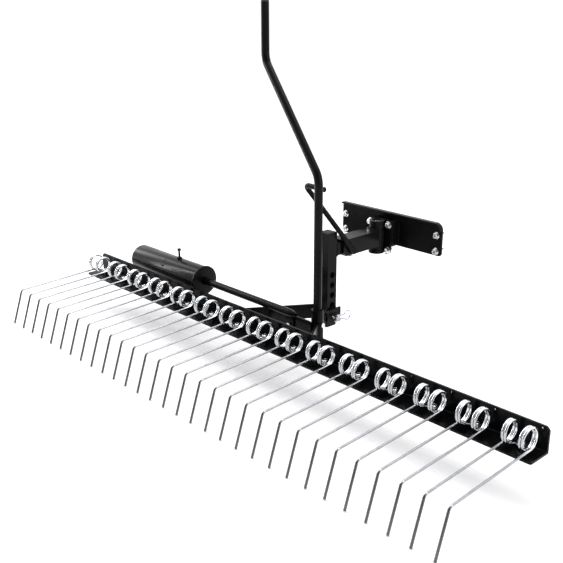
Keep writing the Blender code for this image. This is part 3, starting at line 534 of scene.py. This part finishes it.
def add_lever_rest():
    """The bent rod behind the lever; its free end is eased."""
    path = bend_path([at(*point) for point in REST_POINTS], REST_BEND_RADIUS, 14)
    rings = sweep(path, REST_RADIUS, 24)
    tip = path[-1]
    end = rings.pop()
    rings.append([point - Vector((0.0012, 0.0, 0.0)) for point in end])
    rings.append([tip + (point - tip) * 0.82 for point in end])
    mesh = mesh_from("lever_rest", [(rings, False)])
    show("lever_rest", mesh, COAT, "swivel", ("handle_rest",))


def add_sleeve_and_kingpin():
    low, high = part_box("pivot_sleeve")
    length = high.z - low.z
    bore = 0.0133
    radius = 0.0205
    edge = 0.0008
    profile = [(0.0, bore + edge), (0.0, radius - edge), (edge, radius), (length - edge, radius)]
    profile += [(length, radius - edge), (length, bore + edge), (length - edge, bore), (edge, bore)]
    centre = Vector((middle("pivot_sleeve").x, middle("pivot_sleeve").y, low.z))
    mesh = mesh_from("sleeve", [(face_along(lathe(profile, 48), "Z", centre), True)])
    show("sleeve", mesh, COAT, "swivel", ("pivot_sleeve",))

    low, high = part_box("kingpin")
    length = high.z - low.z
    neck = 0.0093
    radius = 0.0127
    profile = [(0.0, 0.0092), (0.0008, 0.0100), (neck, 0.0100), (neck, radius), (length - 0.0018, radius)]
    profile += [(length - 0.0004, radius - 0.0014), (length, radius - 0.0019)]
    centre = Vector((middle("kingpin").x, middle("kingpin").y, low.z))
    mesh = mesh_from("king_pin", [(face_along(lathe(profile, 40), "Z", centre), False)])
    show("king_pin", mesh, STEEL, "mower_mount", ("kingpin",))


PIN_RADIUS = 0.0079
PIN_HEAD_RADIUS = 0.0120
PIN_HEAD = 0.006
PIN_HOLE_RADIUS = 0.0023
CLIP_WIRE = 0.0016
CLIP_EYE = 0.0120
CLIP_X = 0.0350
PIN_YZ = (0.1995, 0.0105)


def add_pin():
    """The hitch pin, with a head, a rounded end and the cross hole for the clip."""
    low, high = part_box("hitch_pin")
    length = high.x - low.x
    head = PIN_HEAD_RADIUS
    profile = [(0.0, head - 0.002), (0.0008, head - 0.0006), (0.002, head)]
    profile += [(PIN_HEAD - 0.0008, head), (PIN_HEAD, head - 0.0008), (PIN_HEAD, PIN_RADIUS)]
    profile += [(length - 0.0025, PIN_RADIUS), (length - 0.0008, PIN_RADIUS - 0.0014)]
    profile += [(length, PIN_RADIUS - 0.0026)]
    centre = Vector((low.x, middle("hitch_pin").y, middle("hitch_pin").z))
    mesh = mesh_from("pin", [(face_along(lathe(profile, 36), "X", centre), False)])
    pin = show("pin", mesh, STEEL, "rake", ("hitch_pin",))
    drill = lathe(((-0.02, PIN_HOLE_RADIUS), (0.02, PIN_HOLE_RADIUS)), 16)
    hole = mesh_from("pin_hole", [(face_along(drill, "Y", at(CLIP_X, *PIN_YZ)), False)])
    cutter = bpy.data.objects.new("pin_hole", hole)
    bpy.context.scene.collection.objects.link(cutter)
    modifier = pin.modifiers.new("pin_hole", "BOOLEAN")
    modifier.operation = "DIFFERENCE"
    modifier.solver = "EXACT"
    modifier.object = cutter
    bpy.context.view_layer.update()
    cut = bpy.data.meshes.new_from_object(pin.evaluated_get(bpy.context.evaluated_depsgraph_get()))
    pin.modifiers.clear()
    pin.data = cut
    bpy.data.objects.remove(cutter, do_unlink=True)


def add_clip():
    """Hairpin clip: one leg through the pin, an eye, and one leg under it."""
    lower = PIN_YZ[1] - PIN_RADIUS - CLIP_WIRE - 0.0006
    half = (PIN_YZ[1] - lower) / 2.0
    centre_y = PIN_YZ[0] + 0.038
    centre_z = (PIN_YZ[1] + lower) / 2.0
    gap = math.asin(half / CLIP_EYE)
    path = [at(CLIP_X, PIN_YZ[0] - 0.014, PIN_YZ[1])]
    for i in range(37):
        a = math.pi - gap - (2.0 * math.pi - 2.0 * gap) * i / 36.0
        path.append(at(CLIP_X, centre_y + CLIP_EYE * math.cos(a), centre_z + CLIP_EYE * math.sin(a)))
    path.append(at(CLIP_X, PIN_YZ[0] - 0.010, lower))
    mesh = mesh_from("clip", [(sweep(path, CLIP_WIRE, 12), False)])
    show("clip_form", mesh, STEEL, "clip", ("hairpin_clip",))


ARM_RADIUS = 0.0095
WEIGHT_RADIUS = 0.0380
WEIGHT_CAP_RADIUS = 0.0410
WEIGHT_BORE = 0.0107
PLUG_RADIUS = 0.0110
PLUG_TILT = math.radians(40.0)
# Distance from the weight's axis and share of the plug's radius.
PLUG_PROFILE = ((0.028, 1.0), (0.0368, 1.0), (0.0376, 0.93), (0.0379, 0.80), (0.0374, 0.70), (0.0374, 0.3))


def add_weight():
    """The counterweight, its end cap and the round plug in its side."""
    low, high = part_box("counterweight")
    cap_low, cap_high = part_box("weight_end_cap")
    axis = (cap_low + cap_high) / 2.0
    length = high.x - low.x
    profile = [(0.0, WEIGHT_BORE), (0.0, WEIGHT_RADIUS - 0.0040), (0.0012, WEIGHT_RADIUS - 0.0012)]
    profile += [(0.0040, WEIGHT_RADIUS), (length, WEIGHT_RADIUS), (length, WEIGHT_BORE)]
    centre = Vector((low.x, axis.y, axis.z))
    body = mesh_from("weight_body", [(face_along(lathe(profile, 96), "X", centre), True)])
    show("weight_body", body, CAST_COAT, "weight", ("counterweight",))

    length = cap_high.x - cap_low.x
    edge = 0.0012
    radius = WEIGHT_CAP_RADIUS
    profile = [(0.0, WEIGHT_BORE), (0.0, radius - edge), (edge * 0.4, radius - edge * 0.3)]
    profile += [(edge, radius), (length - edge, radius)]
    profile += [(length - edge * 0.3, radius - edge * 0.4), (length, radius - edge)]
    profile += [(length, WEIGHT_BORE + 0.0008), (length - 0.0008, WEIGHT_BORE)]
    centre = Vector((cap_low.x, axis.y, axis.z))
    cap = mesh_from("weight_cap", [(face_along(lathe(profile, 96), "X", centre), True)])
    show("weight_cap", cap, CAST_COAT, "weight", ("weight_end_cap",))

    outward = Vector((0.0, -math.cos(PLUG_TILT), math.sin(PLUG_TILT)))
    along = Vector((1.0, 0.0, 0.0))
    across = outward.cross(along)
    centre = Vector((middle("weight_plug").x, axis.y, axis.z))
    rings = []
    for distance, part in PLUG_PROFILE:
        points = ring(PLUG_RADIUS * part, 32, 0.0)
        rings.append([centre + outward * distance + along * p.x + across * p.y for p in points])
    mesh = mesh_from("weight_plug_form", [(rings, False)])
    show("weight_plug_form", mesh, CAST_COAT, "weight", ("weight_plug",))


def add_arm():
    """The weight's round arm with its tapered end and the tab that bolts to the cross plate."""
    axis = middle("weight_end_cap")
    low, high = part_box("weight_arm")
    length = high.x - low.x
    profile = [(0.0, ARM_RADIUS - 0.0015), (0.0015, ARM_RADIUS), (length - 0.0215, ARM_RADIUS)]
    profile += [(length - 0.0190, ARM_RADIUS * 0.985), (length - 0.0010, ARM_RADIUS * 0.50)]
    profile += [(length, ARM_RADIUS * 0.42)]
    arm_centre = Vector((low.x, axis.y, axis.z))
    tab_x = CORNER.x
    tab = [(tab_x - 0.012, axis.z), (tab_x - 0.012, CORNER.z + 0.013), (tab_x - 0.010, CORNER.z + 0.008)]
    tab += [(tab_x - 0.005, CORNER.z + 0.006), (tab_x + 0.005, CORNER.z + 0.006)]
    tab += [(tab_x + 0.010, CORNER.z + 0.008), (tab_x + 0.012, CORNER.z + 0.013), (tab_x + 0.012, axis.z)]
    front = CORNER.y + 0.0647
    back = CORNER.y + 0.0697
    rings = []
    for y, inset in ((front, 0.0006), (front + 0.0006, 0.0), (back - 0.0006, 0.0), (back, 0.0006)):
        rings.append([Vector((x - math.copysign(inset, x - tab_x), y, z + inset)) for x, z in tab])
    mesh = mesh_from("arm", [(face_along(lathe(profile, 40), "X", arm_centre), False), (rings, False)])
    show("arm", mesh, COAT, "rake", ("weight_arm",))


# ---------------------------------------------------------------- welds and bar fillet

def bead(points, radius=0.0022, phase=0.0):
    """A weld bead along straight runs, with the ripples of its passes."""
    path = []
    for first, second in zip(points, points[1:]):
        count = max(4, int((second - first).length / 0.0009))
        path += [first.lerp(second, i / count) for i in range(count)]
    path.append(points[-1])
    last = len(path) - 1
    ripple = []
    for i in range(last + 1):
        size = 1.0 + 0.16 * math.sin(i * 1.25 + phase) + 0.07 * math.sin(i * 0.37 + phase * 2.0)
        ripple.append(size * min(1.0, 0.35 + 0.2 * min(i, last - i)))
    return (sweep(path, radius, 8, ripple), False)


def around(centre, radius, z, start, end):
    """Points on a level arc, from one angle to another in degrees."""
    points = []
    for i in range(25):
        a = math.radians(start + (end - start) * i / 24)
        points.append(Vector((centre.x + radius * math.cos(a), centre.y + radius * math.sin(a), z)))
    return points


def upright(x, y, low, high, radius, phase):
    """A straight vertical bead."""
    return bead([Vector((x, y, low)), Vector((x, y, high))], radius, phase)


def add_rake_welds():
    rake = []
    for side in (-1.0, 1.0):
        node = "brace_right" if side > 0.0 else "brace_left"
        low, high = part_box(node)
        foot = high.x if side > 0.0 else low.x
        for shift in (0.0, -side * 0.0072):
            rake.append(upright(foot + shift, BAR_HIGH.y + 0.0012, low.z + 0.001,
                                high.z - 0.001, 0.0026, side))
        ear_low, ear_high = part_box("clevis_ear_right" if side > 0.0 else "clevis_ear_left")
        x = (ear_low.x + ear_high.x) / 2.0 + side * 0.0042
        rake.append(upright(x, ear_low.y + 0.0004, low.z + 0.002, ear_high.z - 0.014, 0.0024, 1.0))
    low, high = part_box("cross_plate")
    rake.append(upright(low.x - 0.0005, high.y, low.z + 0.002, high.z - 0.004, 0.0022, 2.0))
    centre = middle("handle_socket")
    top = CORNER.z + 0.0382
    rake.append(bead(around(centre, 0.0158, top, 100.0, 145.0), 0.0020, 0.5))
    rake.append(bead(around(centre, 0.0158, top, 280.0, 325.0), 0.0020, 0.9))
    show("rake_welds", mesh_from("rake_welds", rake, 60.0), COAT, "rake")


def add_swivel_welds():
    swivel = []
    centre = middle("pivot_sleeve")
    low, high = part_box("cross_tube")
    swivel.append(bead(around(centre, 0.0212, high.z + 0.0006, 205.0, 335.0), 0.0022, 0.0))
    swivel.append(bead(around(centre, 0.0212, low.z - 0.0006, 205.0, 335.0), 0.0022, 0.7))
    for side in (-1.0, 1.0):
        swivel.append(upright(centre.x + side * 0.0212, centre.y - 0.0010,
                              low.z + 0.001, high.z - 0.001, 0.0022, side))
    inner_low, inner_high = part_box("inner_tube")
    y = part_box("post")[1].y + 0.0010
    corners = [(inner_low.x, inner_low.z), (inner_high.x, inner_low.z), (inner_high.x, inner_high.z),
               (inner_low.x, inner_high.z), (inner_low.x, inner_low.z)]
    swivel.append(bead([Vector((x, y, z)) for x, z in corners], 0.0022, 0.3))
    foot = at(*REST_POINTS[0])
    knee = at(*REST_POINTS[1])
    run = (knee - foot).normalized()
    for lift in (-1.0, 1.0):
        edge = Vector((-0.0040, 0.0, 0.0)) + run.cross(Vector((1.0, 0.0, 0.0))) * (lift * 0.0046)
        swivel.append(bead([foot + edge + run * 0.002, foot + edge + run * 0.046], 0.0022, lift))
    show("swivel_welds", mesh_from("swivel_welds", swivel, 60.0), COAT, "swivel")


def add_mount_welds():
    mount = []
    for side in (-1.0, 1.0):
        low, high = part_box("bracket_bar_right" if side > 0.0 else "bracket_bar_left")
        x = high.x if side > 0.0 else low.x
        mount.append(upright(x + side * 0.0006, high.y - 0.0008, low.z + 0.002, high.z - 0.002, 0.0024, side))
        mount.append(upright(x, low.y + 0.0006, low.z + 0.002, high.z - 0.002, 0.0016, side + 1.0))
    show("mount_welds", mesh_from("mount_welds", mount, 60.0), COAT, "mower_mount")


def add_bar_fillet():
    """The rolled angle's inner radius."""
    size = 0.0030
    start = BAR_LOW.x + 0.0005
    end = BAR_HIGH.x - 0.0005
    outline = [(0.0004, -0.0004), (-size, -0.0002)]
    for i in range(9):
        a = math.radians(90.0 * i / 8.0)
        outline.append((-size + size * math.sin(a), size - size * math.cos(a)))
    outline.append((0.0002, size))
    rings = [[Vector((x, CORNER.y + y, CORNER.z + z)) for y, z in outline] for x in (start, end)]
    show("bar_fillet", mesh_from("bar_fillet", [(rings, False)], 60.0), BAR_COAT, "rake")


# ---------------------------------------------------------------- flat and square stock

def add_stock():
    for node, width, material, body, slot in (
            ("mount_plate", 0.0012, COAT, "mower_mount", "mount_plate"),
            ("bracket_bar_left", 0.0010, COAT, "mower_mount", "bracket_bar"),
            ("bracket_bar_right", 0.0010, COAT, "mower_mount", "bracket_bar"),
            ("pivot_bracket", 0.0007, COAT, "mower_mount", "pivot_bracket"),
            ("cross_tube", 0.0016, COAT, "swivel", "cross_tube"),
            ("inner_tube", 0.0014, COAT, "swivel", "inner_tube"),
            ("post", 0.0014, COAT, "swivel", "post"),
            ("post_cap", 0.0006, PLASTIC, "swivel", "post_cap"),
            ("clevis_ear_left", 0.0008, COAT, "rake", "clevis_ear"),
            ("clevis_ear_right", 0.0008, COAT, "rake", "clevis_ear"),
            ("brace_left", 0.0008, COAT, "rake", "brace"),
            ("brace_right", 0.0008, COAT, "rake", "brace"),
            ("cross_plate", 0.0008, COAT, "rake", "cross_plate"),
            ("handle_socket", 0.0006, COAT, "rake", "handle_socket"),
            ("tine_bar", 0.0007, BAR_COAT, "rake", "tine_bar")):
        softened(node, width, material, body)


# ---------------------------------------------------------------- floor, light and camera

def add_floor():
    """A white floor under the tine tips; its slight glow keeps it white far away."""
    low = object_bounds()[0][2]
    mesh = bpy.data.meshes.new("floor")
    work = bmesh.new()
    bmesh.ops.create_circle(work, cap_ends=True, segments=96, radius=150.0)
    work.to_mesh(mesh)
    work.free()
    floor = bpy.data.objects.new("floor", mesh)
    floor.location = (0.0, 0.0, low - 0.0005)
    bpy.context.scene.collection.objects.link(floor)
    material, tree, shader = new_material("studio_floor")
    tone = ramp(tree, noise(tree, 3.0, 2.0), ((0.3, (0.90, 0.90, 0.90)), (0.7, (0.92, 0.92, 0.92))))
    tree.links.new(tone, shader.inputs["Base Color"])
    shader.inputs["Emission Color"].default_value = (1.0, 1.0, 1.0, 1.0)
    shader.inputs["Emission Strength"].default_value = 0.15
    shader.inputs["Roughness"].default_value = 0.75
    shader.inputs["Specular IOR Level"].default_value = 0.2
    mesh.materials.append(material)


def add_area(name, place, target, size, power):
    data = bpy.data.lights.new(name, "AREA")
    data.shape = "RECTANGLE"
    data.size, data.size_y = size
    data.energy = power
    light = bpy.data.objects.new(name, data)
    light.location = place
    aim = Vector(target) - Vector(place)
    light.rotation_euler = aim.to_track_quat("-Z", "Y").to_euler()
    bpy.context.scene.collection.objects.link(light)


# The direction of the middle of the studio's dark patch, seen from the object.
DARK_SIDE = (0.41, -0.71, 0.57)


def add_light():
    """White studio all round, with one dark patch high in front that the black gloss reflects."""
    world = bpy.data.worlds.new("studio")
    bpy.context.scene.world = world
    world.use_nodes = True
    tree = world.node_tree
    back = tree.nodes["Background"]
    back.inputs["Strength"].default_value = 1.0
    place = tree.nodes.new("ShaderNodeTexCoord")
    dot = tree.nodes.new("ShaderNodeVectorMath")
    dot.operation = "DOT_PRODUCT"
    dot.inputs[1].default_value = DARK_SIDE
    tree.links.new(place.outputs["Generated"], dot.inputs[0])
    tone = ramp(tree, dot.outputs["Value"], ((0.66, (1.22, 1.22, 1.24)), (0.90, (0.10, 0.10, 0.11))))
    tree.links.new(tone, back.inputs["Color"])
    add_area("top_softbox", (-0.6, 0.5, 3.2), (0.0, -0.3, -0.2), (2.6, 1.8), 45.0)
    add_area("left_strip", (-2.2, -1.3, 0.9), (0.0, -0.3, 0.0), (0.10, 2.2), 26.0)
    add_area("left_softbox", (-3.0, -0.4, 1.6), (-0.2, -0.3, 0.0), (0.7, 2.6), 24.0)
    add_area("right_softbox", (3.2, 0.8, 1.7), (0.2, -0.3, 0.1), (0.8, 2.4), 18.0)


CAMERA_PLACE = (1.4345, -1.3055, 0.8116)
CAMERA_TURN = (46.87, 18.98, -0.21)


def add_camera():
    """The view: turned to the left of +Y, tipped down, and rolled a little."""
    data = bpy.data.cameras.new("camera")
    data.sensor_width = 36.0
    data.lens = 55.01
    camera = bpy.data.objects.new("camera", data)
    yaw, pitch, roll = (math.radians(angle) for angle in CAMERA_TURN)
    look = Vector((-math.sin(yaw) * math.cos(pitch), math.cos(yaw) * math.cos(pitch), -math.sin(pitch)))
    flat = Vector((math.cos(yaw), math.sin(yaw), 0.0))
    level = flat.cross(look)
    right = flat * math.cos(roll) + level * math.sin(roll)
    up = level * math.cos(roll) - flat * math.sin(roll)
    turn = Matrix((right, up, -look)).transposed().to_4x4()
    camera.matrix_world = Matrix.Translation(at(*CAMERA_PLACE)) @ turn
    bpy.context.scene.collection.objects.link(camera)
    bpy.context.scene.camera = camera


def main():
    add_stock()
    add_fasteners()
    add_tines()
    add_handle()
    add_lever_rest()
    add_sleeve_and_kingpin()
    add_pin()
    add_clip()
    add_weight()
    add_arm()
    add_rake_welds()
    add_swivel_welds()
    add_mount_welds()
    add_bar_fillet()
    add_floor()
    add_light()
    add_camera()
    bpy.context.scene.view_settings.view_transform = "Standard"


main()
